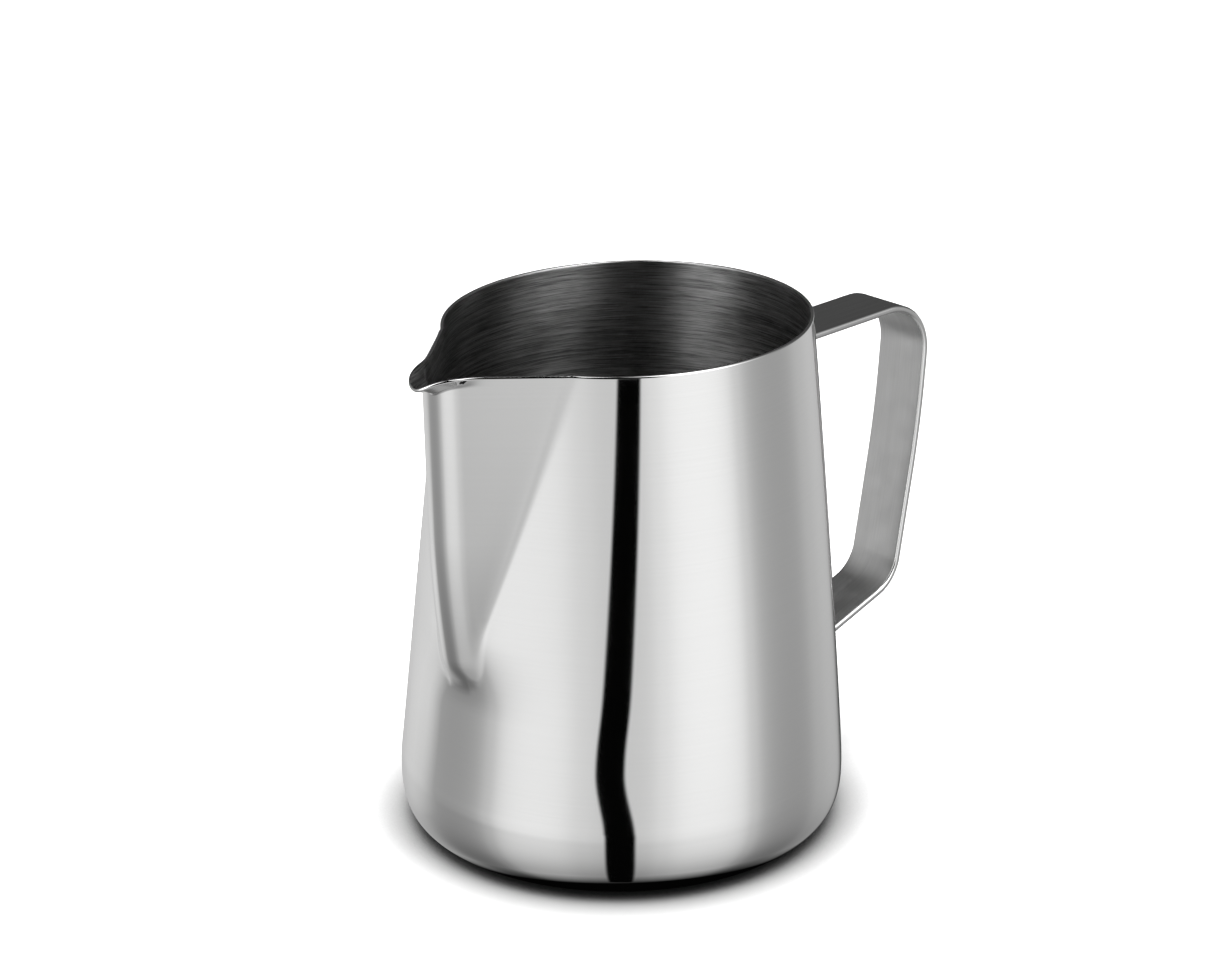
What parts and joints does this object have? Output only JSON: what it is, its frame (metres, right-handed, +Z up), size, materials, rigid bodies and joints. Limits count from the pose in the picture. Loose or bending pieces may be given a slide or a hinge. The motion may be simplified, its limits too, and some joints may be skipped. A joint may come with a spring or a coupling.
{
  "type": "milk frothing pitcher",
  "caption": "Tapered metal milk pitcher with a rounded foot, a pressed V-shaped pouring spout and a welded flat strap handle.",
  "frame": {"origin": "on the body's axis in the plane the pitcher stands on", "axes": "+Z up along the body's axis, +X towards the handle and away from the spout, +Y to the side"},
  "size_m": [0.1399, 0.0938, 0.109],
  "materials": {
    "body_steel": "mirror polished outside, fine circumferential satin inside",
    "handle_steel": "polished outside, satin inside, rounded bright edges",
    "weld_metal": "brushed weld bead"
  },
  "bodies": {
    "root": {"pitcher_body": "body_steel", "handle_strap": "handle_steel", "upper_weld_beads": "weld_metal", "lower_weld_beads": "weld_metal"}
  },
  "joints": []
}
